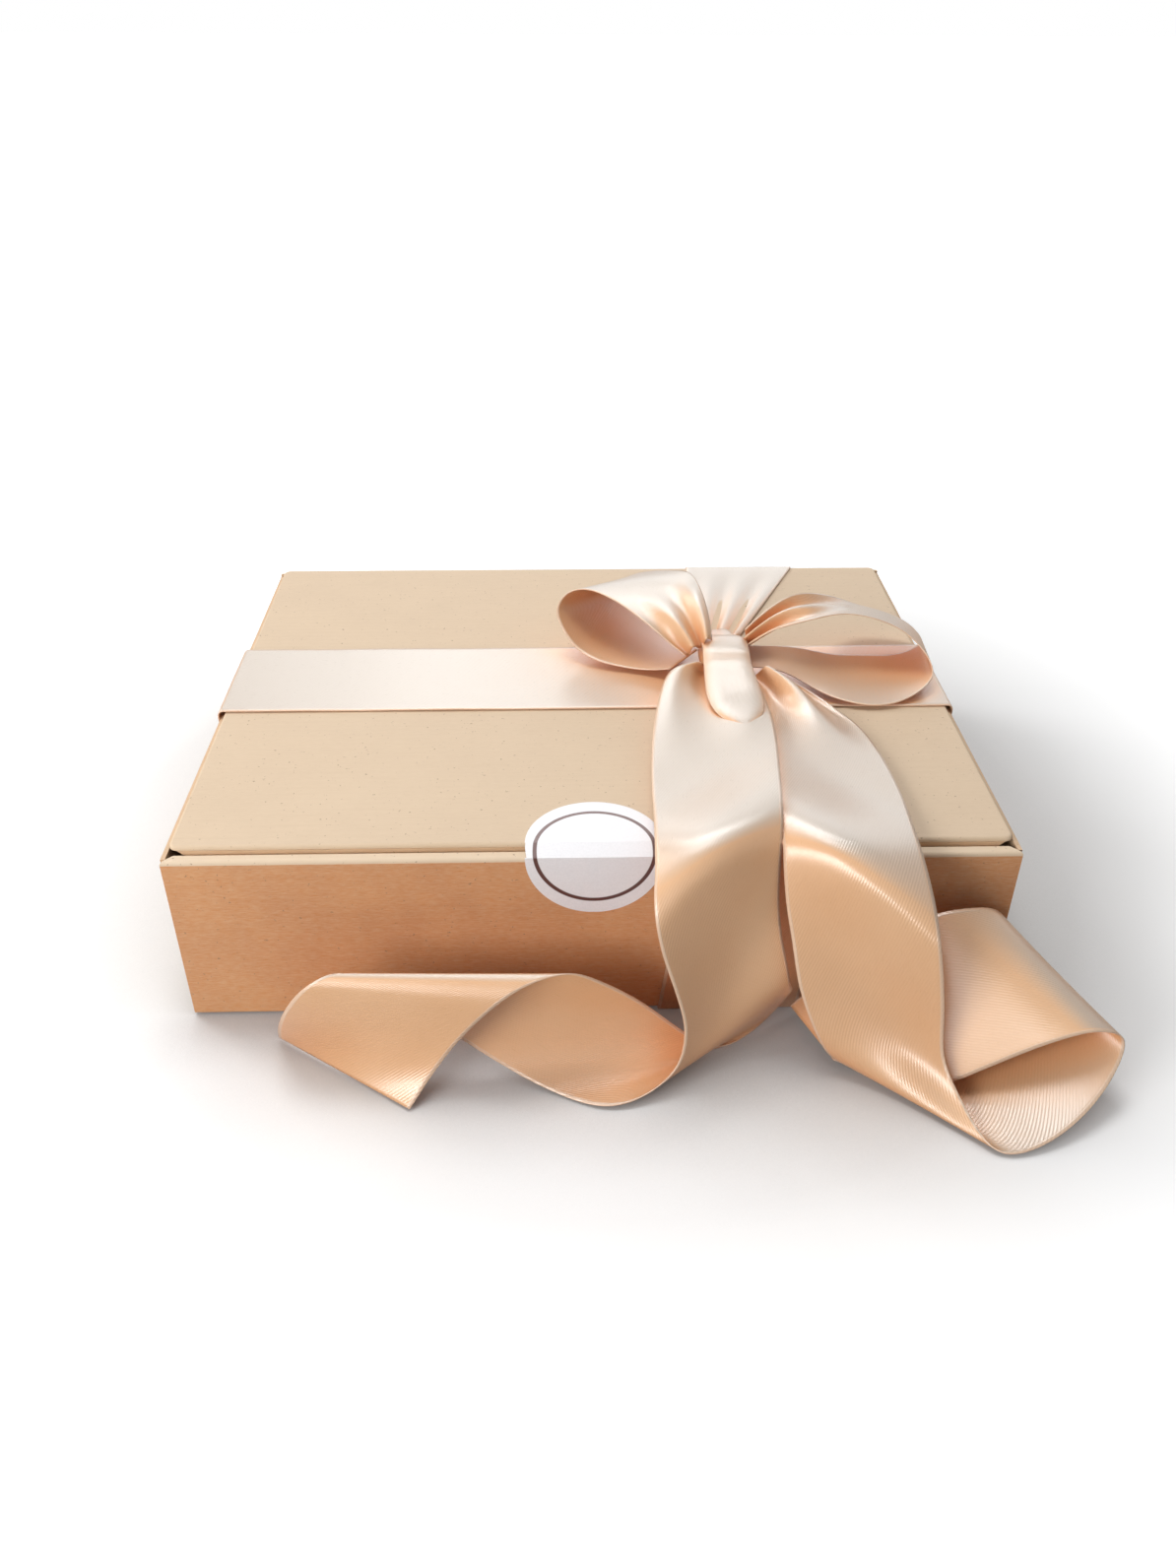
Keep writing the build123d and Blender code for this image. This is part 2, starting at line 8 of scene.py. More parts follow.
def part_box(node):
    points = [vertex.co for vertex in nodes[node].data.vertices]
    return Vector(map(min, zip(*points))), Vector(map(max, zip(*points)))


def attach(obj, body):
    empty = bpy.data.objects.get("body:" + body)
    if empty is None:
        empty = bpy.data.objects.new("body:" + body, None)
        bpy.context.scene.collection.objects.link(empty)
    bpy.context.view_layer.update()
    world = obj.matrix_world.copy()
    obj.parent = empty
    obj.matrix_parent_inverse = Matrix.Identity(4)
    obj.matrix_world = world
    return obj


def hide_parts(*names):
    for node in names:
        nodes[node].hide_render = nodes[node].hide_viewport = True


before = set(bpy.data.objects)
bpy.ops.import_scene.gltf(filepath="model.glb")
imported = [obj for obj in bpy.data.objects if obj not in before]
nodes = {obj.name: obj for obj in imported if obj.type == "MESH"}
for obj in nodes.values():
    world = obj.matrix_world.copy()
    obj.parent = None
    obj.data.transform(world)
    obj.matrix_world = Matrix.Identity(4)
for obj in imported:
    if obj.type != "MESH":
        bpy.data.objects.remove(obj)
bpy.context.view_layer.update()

# Sizes in metres, as in the part
MM = 0.001
ribbon_width = 50 * MM
ribbon_thickness = 0.4 * MM
box_height = 71 * MM
front_face = -111 * MM
cross_band_y = 4.5 * MM
knot_x = 54 * MM
knot_front = -9 * MM
knot_middle = 80.55 * MM

# Camera, matched to the photograph's corners of the box
photo_height = 1592
focal_pixels = 1244.5
sensor_height = 36
camera_place = Vector((-11.6, -429.8, 314.5)) * MM
camera_yaw = radians(1.65)
camera_pitch = radians(34.2)
camera_roll = radians(0.33)


def make_camera():
    """Camera that looks down at the front of the box."""
    data = bpy.data.cameras.new("camera")
    data.sensor_fit = "VERTICAL"
    data.sensor_height = sensor_height
    data.lens = focal_pixels / photo_height * sensor_height
    data.clip_start = 0.01
    forward = Vector(
        (sin(camera_yaw) * cos(camera_pitch), cos(camera_yaw) * cos(camera_pitch), -sin(camera_pitch))
    )
    level = Vector((cos(camera_yaw), -sin(camera_yaw), 0))
    upward = level.cross(forward)
    right = level * cos(camera_roll) + upward * sin(camera_roll)
    up = upward * cos(camera_roll) - level * sin(camera_roll)
    camera = bpy.data.objects.new("camera", data)
    turn = Matrix((right, up, -forward)).transposed().to_4x4()
    camera.matrix_world = Matrix.Translation(camera_place) @ turn
    bpy.context.collection.objects.link(camera)
    bpy.context.scene.camera = camera


# Lights: name, place, target and size in metres, power in watts, and whether it only shows in gloss
lights = (
    ("top_softbox", (-0.1, 0.15, 1.2), (0, -0.05, 0), (0.5, 0.36), 5.4, False),
    ("top_card", (-0.05, 0.75, 1.25), (0, -0.05, 0.07), (0.9, 0.35), 11.5, True),
    ("back_card", (0.3, 1.5, 0.65), (0, 0, 0.07), (2.6, 1.0), 11, True),
    ("front_card", (-0.5, -1.4, 0.62), (0, -0.15, 0.03), (0.8, 0.25), 5, True),
    ("back_spot_card", (-0.2, 1.5, 0.95), (0, 0, 0.07), (0.3, 0.5), 1.2, True),
    ("left_softbox", (-0.95, 0.5, 0.8), (0, 0, 0.03), (0.4, 0.4), 4.4, False),
    ("front_fill", (-0.55, -0.65, 0.36), (-0.02, -0.1, 0.03), (0.42, 0.34), 4.4, False),
)


def area_light(name, place, target, size, power, gloss_only):
    """Rectangle that shines from its place at its target."""
    data = bpy.data.lights.new(name, "AREA")
    data.shape = "RECTANGLE"
    data.size, data.size_y = size
    data.energy = power
    light = bpy.data.objects.new(name, data)
    light.location = place
    light.rotation_euler = (Vector(target) - Vector(place)).to_track_quat("-Z", "Y").to_euler()
    light.visible_diffuse = not gloss_only
    bpy.context.collection.objects.link(light)


def make_lights():
    """Soft lights, and cards at the back, above and in front for the satin to mirror."""
    for light in lights:
        area_light(*light)


# Rays that measure how near other surfaces are
openness_samples = 8


class Shader:
    """A node material built in a few calls."""

    def __init__(self, name):
        self.material = bpy.data.materials.new(name)
        self.material.use_nodes = True
        self.tree = self.material.node_tree
        self.surface = self.tree.nodes["Principled BSDF"]
        coordinates = self.tree.nodes.new("ShaderNodeTexCoord")
        self.place = coordinates.outputs["Object"]
        self.facing = coordinates.outputs["Normal"]
        self.cloth = coordinates.outputs["UV"]

    def feed(self, socket, value):
        """Link a socket to another, or give it a number or colour of its own."""
        if isinstance(value, bpy.types.NodeSocket):
            self.tree.links.new(value, socket)
        else:
            socket.default_value = value

    def set(self, name, value):
        """One input of the surface."""
        self.feed(self.surface.inputs[name], value)

    def math(self, kind, first, second=0.0):
        node = self.tree.nodes.new("ShaderNodeMath")
        node.operation = kind
        self.feed(node.inputs[0], first)
        self.feed(node.inputs[1], second)
        return node.outputs[0]

    def axis(self, vector, name):
        node = self.tree.nodes.new("ShaderNodeSeparateXYZ")
        self.feed(node.inputs[0], vector)
        return node.outputs[name]

    def stretched(self, vector, scale):
        node = self.tree.nodes.new("ShaderNodeMapping")
        self.feed(node.inputs["Vector"], vector)
        node.inputs["Scale"].default_value = scale
        return node.outputs[0]

    def noise(self, vector, scale, detail, roughness):
        """Noise with so many cells to a metre."""
        node = self.tree.nodes.new("ShaderNodeTexNoise")
        self.feed(node.inputs["Vector"], vector)
        node.inputs["Scale"].default_value = scale
        node.inputs["Detail"].default_value = detail
        node.inputs["Roughness"].default_value = roughness
        return node.outputs["Fac"]

    def span(self, value, low, high, out_low=0.0, out_high=1.0):
        """A value's way from low to high, as a number from out_low to out_high."""
        node = self.tree.nodes.new("ShaderNodeMapRange")
        self.feed(node.inputs["Value"], value)
        limits = {"From Min": low, "From Max": high, "To Min": out_low, "To Max": out_high}
        for name, number in limits.items():
            node.inputs[name].default_value = number
        return node.outputs[0]

    def mix(self, share, first, second):
        """First colour, with a share of the second in it."""
        node = self.tree.nodes.new("ShaderNodeMix")
        node.data_type = "RGBA"
        self.feed(node.inputs["Factor"], share)
        self.feed(node.inputs["A"], rgba(first))
        self.feed(node.inputs["B"], rgba(second))
        return node.outputs["Result"]

    def openness(self, distance):
        """1 in the open, less where other surfaces are near."""
        node = self.tree.nodes.new("ShaderNodeAmbientOcclusion")
        node.samples = openness_samples
        node.inputs["Distance"].default_value = distance
        return node.outputs["AO"]

    def bump(self, height, distance, before=None):
        """Relief that stands up by a distance where its height is 1, over the one before."""
        node = self.tree.nodes.new("ShaderNodeBump")
        node.inputs["Strength"].default_value = 1.0
        node.inputs["Distance"].default_value = distance
        self.feed(node.inputs["Height"], height)
        if before is not None:
            self.feed(node.inputs["Normal"], before)
        return node.outputs[0]


def rgba(colour):
    """Colour with its fourth number, or the socket as it is."""
    return colour if isinstance(colour, bpy.types.NodeSocket) else (*colour, 1.0)


# Board: light and dark of each face, specks, folds, the pitch of the flutes, and the height of what
# can be felt on it
lid_tones = ((0.72, 0.55, 0.38), (0.64, 0.475, 0.315))
# The front wall's tones are a darker, redder copy of the lid's board: painted shade on the front
shaded_wall_tones = ((0.66, 0.29, 0.10), (0.54, 0.21, 0.066))
side_tones = ((0.70, 0.47, 0.28), (0.60, 0.38, 0.215))
kraft_speck = (0.27, 0.16, 0.09)
kraft_fold = (0.78, 0.62, 0.45)
flute_pitch = 3.2 * MM
rib_height = 0.012 * MM
fibre_height = 0.07 * MM


def kraft(name, tones, rib_axis, cut_axis):
    """Brown board: clouded liner with fibres and specks, faint flute ribs and fluted cut edges."""
    kraft_light, kraft_dark = tones
    shader = Shader(name)
    cloud = shader.noise(shader.place, 22, 5, 0.6)
    fibres = shader.noise(shader.stretched(shader.place, (0.16, 1, 1)), 1900, 3, 0.7)
    threads = shader.noise(shader.stretched(shader.place, (0.07, 1, 1)), 520, 2, 0.6)
    colour = shader.mix(shader.span(cloud, 0.3, 0.7), kraft_dark, kraft_light)
    colour = shader.mix(shader.span(fibres, 0.25, 0.75, out_high=0.35), colour, kraft_fold)
    colour = shader.mix(shader.span(threads, 0.55, 0.8, out_high=0.3), colour, kraft_dark)
    specks = shader.noise(shader.place, 850, 2, 0.5)
    colour = shader.mix(shader.span(specks, 0.69, 0.76, out_high=0.7), colour, kraft_speck)
    turns = shader.math("MULTIPLY", shader.axis(shader.place, rib_axis), 2 * pi / flute_pitch)
    rib = shader.math("SINE", turns)
    colour = shader.mix(shader.span(rib, -1, 1, out_high=0.07), colour, kraft_dark)
    cut = shader.math("ABSOLUTE", shader.axis(shader.facing, cut_axis))
    hollow = shader.noise(shader.place, 420, 2, 0.5)
    edge_colour = shader.mix(shader.span(hollow, 0.42, 0.6), kraft_speck, kraft_dark)
    colour = shader.mix(shader.span(cut, 0.75, 0.9), colour, edge_colour)
    shader.set("Base Color", colour)
    shader.set("Normal", shader.bump(fibres, fibre_height, shader.bump(rib, rib_height)))
    shader.set("Roughness", shader.span(cloud, 0.3, 0.7, 0.66, 0.78))
    return shader.material


# Satin: its two tones, the painted sheen that makes lengths facing up in the open pale, the painted
# shade of hidden folds and the one of its woven edge; how near other cloth must be for that shade and
# sheen; its twill; where the edge starts and is full, in from the side; the height of each; and its
# gloss
satin_light = (0.81, 0.49, 0.27)
satin_deep = (0.75, 0.42, 0.21)
satin_painted_sheen = (0.55, 0.46, 0.375)
satin_painted_shade = (0.74, 0.33, 0.14)
satin_edge = (0.86, 0.74, 0.63)
satin_reach = 70 * MM
twill_pitch = 1.1 * MM
twill_slant = 0.6
edge_inside, edge_outside = 1.3 * MM, 1.0 * MM
twill_height, yarn_height, edge_height = 0.022 * MM, 0.03 * MM, 0.12 * MM
satin_gloss = {
    "IOR": 1.6,
    "Specular IOR Level": 0.7,
    "Anisotropic": 0.5,
    "Coat Weight": 0.3,
    "Coat IOR": 1.5,
    "Coat Roughness": 0.25,
    "Sheen Weight": 0.12,
    "Sheen Roughness": 0.35,
    "Sheen Tint": (1.0, 0.98, 0.96, 1.0),
}


def satin():
    """Double-faced satin: long floats with a soft sheen, a fine twill, a firm woven edge, painted shade
    and sheen.
    """
    shader = Shader("satin_ribbon")
    across = shader.axis(shader.cloth, "X")
    along = shader.axis(shader.cloth, "Y")
    slant = shader.math("ADD", across, shader.math("MULTIPLY", along, twill_slant))
    twill = shader.math("SINE", shader.math("MULTIPLY", slant, 2 * pi / twill_pitch))
    yarns = shader.noise(shader.stretched(shader.cloth, (1, 0.06, 1)), 4200, 2, 0.6)
    cloud = shader.noise(shader.place, 16, 3, 0.5)
    colour = shader.mix(shader.span(cloud, 0.35, 0.65), satin_deep, satin_light)
    colour = shader.mix(shader.span(yarns, 0.3, 0.7, out_high=0.18), colour, satin_deep)
    colour = shader.mix(shader.span(twill, -1, 1, out_high=0.12), colour, satin_deep)
    openness = shader.openness(satin_reach)
    # Painted shade: satin in folds and inside loops, near other cloth, is made deeper and redder
    painted_fold_shade = shader.span(openness, 0.35, 0.75, 0.75, 0.0)
    colour = shader.mix(painted_fold_shade, colour, satin_painted_shade)
    # Painted sheen: satin that faces up, away from other cloth, is made paler as if lit from above
    painted_sheen_share = shader.span(shader.axis(shader.facing, "Z"), 0.76, 0.985)
    open_air = shader.span(openness, 0.7, 0.97)
    colour = shader.mix(shader.math("MULTIPLY", painted_sheen_share, open_air), colour, satin_painted_sheen)
    side = ribbon_width / 2
    from_middle = shader.math("ABSOLUTE", shader.math("SUBTRACT", across, side))
    selvedge = shader.span(from_middle, side - edge_inside, side - edge_outside)
    colour = shader.mix(shader.math("MULTIPLY", selvedge, 0.35), colour, satin_edge)
    shader.set("Base Color", colour)
    for name, value in satin_gloss.items():
        shader.set(name, value)
    weave = shader.bump(yarns, yarn_height, shader.bump(twill, twill_height))
    shader.set("Normal", shader.bump(selvedge, edge_height, weave))
    shader.set("Roughness", shader.span(yarns, 0.3, 0.7, 0.27, 0.36))
    tangent = shader.tree.nodes.new("ShaderNodeTangent")
    tangent.direction_type = "UV_MAP"
    shader.feed(shader.surface.inputs["Tangent"], tangent.outputs[0])
    return shader.material


# Seal: its radius, the height of the fold, its middle as Y plus height below the fold, the ring's
# two radii as shares of its own with the ring's soft edge, and its tones
label_radius = 23 * MM
label_step = 68.6 * MM
label_middle = -40.4 * MM
ring_inner, ring_outer, ring_soft = 0.83, 0.89, 0.12 * MM
paper_tones = ((0.83, 0.82, 0.84), (0.88, 0.87, 0.89))
ring_tone = (0.10, 0.035, 0.03)

# Height of the grain of the seal and of card, and of the marks on chocolate
seal_grain, card_grain, chocolate_marks = 0.01 * MM, 0.03 * MM, 0.05 * MM

# Light and dark tone of each card and filling
plain_tones = {
    "divider_board": ((0.82, 0.78, 0.70), (0.74, 0.69, 0.60)),
    "cup_paper": ((0.10, 0.05, 0.03), (0.06, 0.03, 0.02)),
    "pad_paper": ((0.82, 0.78, 0.71), (0.74, 0.69, 0.61)),
    "dark_chocolate": ((0.060, 0.024, 0.014), (0.040, 0.016, 0.010)),
    "milk_chocolate": ((0.155, 0.066, 0.032), (0.115, 0.047, 0.022)),
    "white_chocolate": ((0.78, 0.64, 0.42), (0.70, 0.55, 0.34)),
}


def label_paper():
    """White seal with a plain dark ring, measured across the fold from its middle."""
    shader = Shader("label_paper")
    shader.set("Roughness", 0.42)
    below_step = shader.math("MINIMUM", shader.axis(shader.place, "Z"), label_step)
    fold = shader.math("ADD", shader.axis(shader.place, "Y"), below_step)
    rise = shader.math("SUBTRACT", fold, label_middle)
    side = shader.axis(shader.place, "X")
    rise_squared = shader.math("MULTIPLY", rise, rise)
    side_squared = shader.math("MULTIPLY", side, side)
    radius = shader.math("SQRT", shader.math("ADD", rise_squared, side_squared))
    ring_low, ring_high = ring_inner * label_radius, ring_outer * label_radius
    inside = shader.span(radius, ring_low - ring_soft, ring_low + ring_soft)
    outside = shader.span(radius, ring_high - ring_soft, ring_high + ring_soft, 1.0, 0.0)
    ring = shader.math("MULTIPLY", inside, outside)
    grain = shader.noise(shader.place, 1400, 3, 0.5)
    paper = shader.mix(shader.span(grain, 0.3, 0.7), *paper_tones)
    shader.set("Base Color", shader.mix(ring, paper, ring_tone))
    shader.set("Coat Weight", 0.25)
    shader.set("Coat Roughness", 0.25)
    shader.set("Normal", shader.bump(grain, seal_grain))
    return shader.material


def card(name, roughness):
    """Plain paper or card, clouded and grained."""
    light, dark = plain_tones[name]
    shader = Shader(name)
    shader.set("Roughness", roughness)
    grain = shader.noise(shader.place, 900, 4, 0.6)
    cloud = shader.noise(shader.place, 30, 3, 0.5)
    colour = shader.mix(shader.span(cloud, 0.3, 0.7), dark, light)
    colour = shader.mix(shader.span(grain, 0.3, 0.7, out_high=0.25), colour, dark)
    shader.set("Base Color", colour)
    shader.set("Normal", shader.bump(grain, card_grain))
    return shader.material


def chocolate(name):
    """Tempered chocolate: soft gloss, faint bloom and small moulding marks."""
    light, dark = plain_tones[name]
    shader = Shader(name)
    cloud = shader.noise(shader.place, 120, 4, 0.6)
    marks = shader.noise(shader.place, 700, 3, 0.5)
    shader.set("Base Color", shader.mix(shader.span(cloud, 0.3, 0.7), dark, light))
    shader.set("Roughness", shader.span(marks, 0.3, 0.7, 0.28, 0.46))
    shader.set("Subsurface Weight", 0.05)
    shader.set("Normal", shader.bump(marks, chocolate_marks))
    return shader.material


def dress_frame():
    """Materials for the CAD nodes that stay."""
    lid_board = kraft("kraft_lid", lid_tones, "Y", "X")
    fold_board = kraft("kraft_fold", (kraft_fold, lid_tones[0]), "Y", "X")
    wall_board = kraft("kraft_wall", shaded_wall_tones, "Z", "X")
    back_board = kraft("kraft_back", side_tones, "Z", "X")
    side_board = kraft("kraft_side", side_tones, "Z", "Y")
    boards = {
        "lid_panel": lid_board,
        "base_panel": lid_board,
        "front_roll_over": fold_board,
        "tuck_flap": back_board,
        "front_wall_outer": wall_board,
        "front_wall_inner": back_board,
        "back_wall": back_board,
        "left_side_wall": side_board,
        "right_side_wall": side_board,
        "left_dust_flap": side_board,
        "right_dust_flap": side_board,
    }
    for side in ("left", "right"):
        for end in ("front", "back"):
            boards[f"{side}_{end}_corner_flap"] = back_board
    divider = card("divider_board", roughness=0.7)
    dark = chocolate("dark_chocolate")
    finishes = {
        **boards,
        "seal_label": label_paper(),
        "divider_long_strips": divider,
        "divider_cross_strips": divider,
        "paper_cups": card("cup_paper", roughness=0.5),
        "truffles": dark,
        "domed_bonbons": dark,
        "square_pralines": chocolate("milk_chocolate"),
        "hexagon_fondants": chocolate("white_chocolate"),
    }
    for name, finish in finishes.items():
        data = nodes[name].data
        data.materials.clear()
        data.materials.append(finish)


# Ribbon ends as in the part: across, deep and up as shares, bearing and rise of the line
# across the ribbon in degrees, and that line's share of the ribbon's width
left_tail_shares = (
    (-0.08, 0.004, 1.19, 0, 0, 0.36),
    (-0.12, 0.064, 1.155, -1, 0, 0.7),
    (-0.16, 0.349, 1.115, -2, 1, 0.89),
    (-0.23, 0.681, 1.101, -2, 1, 0.88),
    (-0.27, 0.956, 1.087, 0, -1, 0.83),
    (-0.28, 1.054, 0.972, 1, -2, 0.8),
    (-0.28, 1.108, 0.81, 1, -1, 0.8),
    (-0.24, 1.162, 0.637, 3, 1, 0.78),
    (-0.17, 1.206, 0.469, 8, 7, 0.75),
    (-0.13, 1.235, 0.327, 17, 15, 0.77),
    (-0.16, 1.25, 0.186, 30, 15, 1),
    (-0.42, 1.28, 0.044, 33, 3, 1.34),
    (-0.79, 1.298, 0.024, 16, 1, 1.24),
    (-1.12, 1.255, 0.12, 8, 1, 1.33),
    (-1.45, 1.23, 0.31, 6, 0, 1.4),
    (-1.76, 1.225, 0.486, 3, -1, 1.45),
    (-1.99, 1.234, 0.585, 0, -1, 1.46),
    (-2.26, 1.262, 0.528, -2, -1, 1.33),
    (-2.51, 1.258, 0.324, -10, -2, 1.19),
    (-2.69, 1.264, 0.134, -23, -1, 1.15),
    (-2.79, 1.283, 0.012, -35, 0, 1.17),
)
right_tail_shares = (
    (0.3, 0.004, 1.145, 0, -2, 0.3),
    (0.44, 0.08, 1.11, 0, -3, 0.44),
    (0.53, 0.18, 1.075, 1, -3, 0.6),
    (0.6, 0.343, 1.06, 3, -3, 0.76),
    (0.61, 0.681, 1.059, 1, -1, 0.87),
    (0.6, 0.961, 1.058, 1, -1, 0.87),
    (0.61, 1.069, 0.966, 0, -1, 0.92),
    (0.64, 1.147, 0.815, 0, -3, 0.97),
    (0.68, 1.211, 0.642, -1, -5, 0.97),
    (0.73, 1.27, 0.413, -4, -8, 0.96),
    (0.8, 1.348, 0.192, -15, -7, 0.86),
    (1.01, 1.479, 0.024, -43, 0, 1.05),
    (1.37, 1.472, 0.031, -45, 1, 1.03),
    (1.79, 1.341, 0.134, -51, 1, 1.05),
    (2.08, 1.196, 0.366, -57, -9, 1.04),
    (1.89, 1.24, 0.549, -57, -21, 0.99),
    (1.66, 1.257, 0.556, -55, -30, 1),
    (1.42, 1.257, 0.493, -51, -35, 1.05),
    (1.18, 1.26, 0.38, -51, -34, 1.03),
    (0.93, 1.255, 0.254, -55, -30, 0.98),
    (0.67, 1.216, 0.146, -58, -22, 0.78),
    (0.43, 1.162, 0.048, -64, -7, 0.52),
)
left_loop_shares = (
    (-0.2, -0.1, 0.14, 12, 28, 0.24),
    (-0.32, 0.13, 0.309, 37, 20, 0.5),
    (-0.48, 0.43, 0.379, 33, 8, 0.7),
    (-0.66, 0.65, 0.369, 30, -2, 0.85),
    (-0.86, 0.78, 0.299, 37, -4, 0.9),
    (-1.01, 0.78, 0.199, 48, -2, 0.92),
    (-1.02, 0.73, 0.079, 57, -1, 0.92),
    (-0.91, 0.63, -0.041, 57, 0, 0.92),
    (-0.73, 0.47, -0.101, 54, 0, 0.86),
    (-0.49, 0.27, -0.111, 50, 3, 0.62),
    (-0.295, 0.01, -0.031, 37, 15, 0.3),
)
right_loop_shares = (
    (0.185, 0.02, 0.125, 80, 45, 0.16),
    (0.46, 0.11, 0.289, 70, 30, 0.3),
    (0.72, 0.15, 0.339, 72, 0, 0.5),
    (1.04, 0.33, 0.259, 72, -18, 0.75),
    (1.34, 0.33, 0.189, 73, -20, 0.75),
    (1.56, 0.27, 0.099, 75, -18, 0.7),
    (1.68, 0.11, -0.001, 80, -12, 0.66),
    (1.66, 0.01, -0.081, 84, -4, 0.68),
    (1.42, -0.15, -0.121, 82, 3, 0.7),
    (1.14, -0.19, -0.117, 82, 5, 0.72),
    (0.83, -0.17, -0.077, 82, 8, 0.55),
    (0.5, -0.06, 0.003, 88, 25, 0.25),
    (0.2, -0.02, 0.009, 88, 30, 0.2),
)

# Slanting fold of the tails: how far each edge stands out, the way over which it rises and falls,
# how softly it turns, how its climb steepens and rounds off, where along each tail the inner and the
# outer edge stand out most, and which way they stand
fold_inner, fold_outer = 14 * MM, 23 * MM
fold_rise, fold_fall, fold_softness = 45 * MM, 56 * MM, 7 * MM
climb_power, crest_share = 1.8, 0.25
left_peaks, right_peaks = (0.08, 0.125), (0.08, 0.13)
left_way, right_way = Vector((-0.12, -0.81, 0.57)), Vector((-0.25, -0.79, 0.56))

# Curl near the left tail's end: its middle along the tail, how far it reaches, how high it stands
# and how it slants
coil_curl = (0.242, 0.036, 7.5 * MM)
curl_slant = 0.25

# Pleats: how deep at most, and how much of the spare width they take up; then the low rucks across
# the flat bands, long ones and short ones, with the share and the slant of each
deepest_pleat, pleat_fullness = 3.0 * MM, 0.6
ruck_height, ruck_long, ruck_short = 0.09 * MM, 0.071, 0.033
short_share, long_slant, short_slant = 0.6, 2.2, 3.1

# Fineness of the ribbon: steps between two rows of a table, steps across, rounds of easing
station_steps = 8
across_steps = 28
easing_rounds = 8


def smoothed(rows):
    """Table with further rows between its own, on a smooth curve through all of them."""
    padded = [rows[0], *rows, rows[-1]]
    fine = []
    for quartet in zip(padded, padded[1:], padded[2:], padded[3:]):
        for step in range(station_steps):
            t = step / station_steps
            fine.append(
                tuple(
                    b + t / 2 * (c - a + t * (2 * a - 5 * b + 4 * c - d + t * (3 * b - 3 * c + d - a)))
                    for a, b, c, d in zip(*quartet)
                )
            )
    return [*fine, rows[-1]]


def table_stations(table, origin, reach):
    """Centre, line across and its length at each station of a table of shares."""
    stations = []
    for across, deep, up, bearing, rise, share in smoothed(table):
        centre = origin + Vector((across * reach.x, deep * reach.y, up * reach.z))
        level = cos(radians(rise))
        line = Vector((level * cos(radians(bearing)), level * sin(radians(bearing)), sin(radians(rise))))
        stations.append((centre, line, ribbon_width * share))
    return stations


def softened(stations, passes):
    """Stations eased towards their neighbours, so that bends come on gently."""
    for _ in range(passes):
        eased = [stations[0]]
        for before, here, after in zip(stations, stations[1:], stations[2:]):
            centre = (before[0] + here[0] * 2 + after[0]) / 4
            line = (before[1] + here[1] * 2 + after[1]).normalized()
            eased.append((centre, line, (before[2] + here[2] * 2 + after[2]) / 4))
        stations = [*eased, stations[-1]]
    return stations


def add_object(name, vertices, faces, finish):
    """Smooth mesh in the scene, as an object of its own."""
    mesh = bpy.data.meshes.new(name)
    mesh.from_pydata(vertices, [], faces)
    mesh.shade_smooth()
    mesh.materials.append(finish)
    piece = bpy.data.objects.new(name, mesh)
    bpy.context.collection.objects.link(piece)
    return piece


def ribbon_sheet(name, stations, depth_at, finish, body="ribbon", lean_at=None, lean=Vector()):
    """Ribbon through its stations, with depth_at(share across, way gone, width) as height off it,
    and lean_at(share across, way gone) as how far it stands forward and up from the box."""
    centres = [station[0] for station in stations]
    vertices, lengths, gone = [], [], 0.0
    for k, (centre, line, width) in enumerate(stations):
        travel = centres[min(k + 1, len(centres) - 1)] - centres[max(k - 1, 0)]
        travel = (travel - line * travel.dot(line)).normalized()
        normal = travel.cross(line)
        if k:
            gone += (centre - centres[k - 1]).cross(line).length
        lengths.append(gone)
        for j in range(across_steps + 1):
            share = j / across_steps
            height = depth_at(share, gone, width)
            forward = lean * lean_at(share, gone) if lean_at else Vector()
            vertices.append(centre + line * width * (share - 0.5) + normal * height + forward)
    row = across_steps + 1
    faces = [
        (k * row + j, k * row + j + 1, (k + 1) * row + j + 1, (k + 1) * row + j)
        for k in range(len(stations) - 1)
        for j in range(across_steps)
    ]
    piece = add_object(name, vertices, faces, finish)
    cloth = piece.data.uv_layers.new(name="cloth")
    for loop in piece.data.loops:
        k, j = divmod(loop.vertex_index, row)
        cloth.data[loop.index].uv = (j / across_steps * ribbon_width, lengths[k])
    thicken = piece.modifiers.new("thickness", "SOLIDIFY")
    thicken.thickness = ribbon_thickness
    thicken.offset = 0
    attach(piece, body)
    area = sum(face.area for face in piece.data.polygons)
    return piece, area


def gathered(waves, tie_length, phase=0.0):
    """Pleats that are deep where the ribbon is tied and die out along it."""

    def depth(share, gone, width):
        crowd = max((ribbon_width / width) ** 2 - 1, 0)
        wave = width / waves
        fade = max(0.0, 1 - gone / tie_length)
        swing = wave / (2 * pi) * sqrt(2 * crowd) * fade * pleat_fullness
        return min(swing, deepest_pleat) * sin(2 * pi * waves * share + phase)

    return depth


def slanting_fold(outer_side, peaks, curl=None):
    """How far a tail billows forward: it turns down along a slanting line, its inner edge first and
    its outer edge later, and may curl once more further on."""

    inner_peak, outer_peak = peaks

    def swell(gone, outward):
        beyond = gone - inner_peak - (outer_peak - inner_peak) * outward
        if beyond < 0:
            way = max(0.0, 1 + beyond / fold_rise)
            return way**climb_power * (1 + crest_share - crest_share * way**4)
        return 0.5 + 0.5 * cos(pi * min(1.0, beyond / fold_fall))

    def lean_at(share, gone):
        outward = share if outer_side > 0 else 1 - share
        offsets = (-1, -0.5, 0, 0.5, 1)
        swells = [swell(gone + offset * fold_softness, outward) for offset in offsets]
        eased = sum(swells) / len(offsets)
        height = (fold_inner + (fold_outer - fold_inner) * outward) * eased
        if curl:
            middle, reach, stand = curl
            slant = curl_slant * reach * (0.5 - share)
            apart = min(1.0, abs(gone - middle - slant) / reach)
            height += stand * (0.5 + 0.5 * cos(pi * apart))
        return height

    return lean_at


def path_stations(points):
    """Stations along a path in mm, whose rows are centre, line from left edge to right, and width."""
    return [
        (Vector(centre) * MM, Vector(line).normalized(), width * MM) for centre, line, width in points
    ]


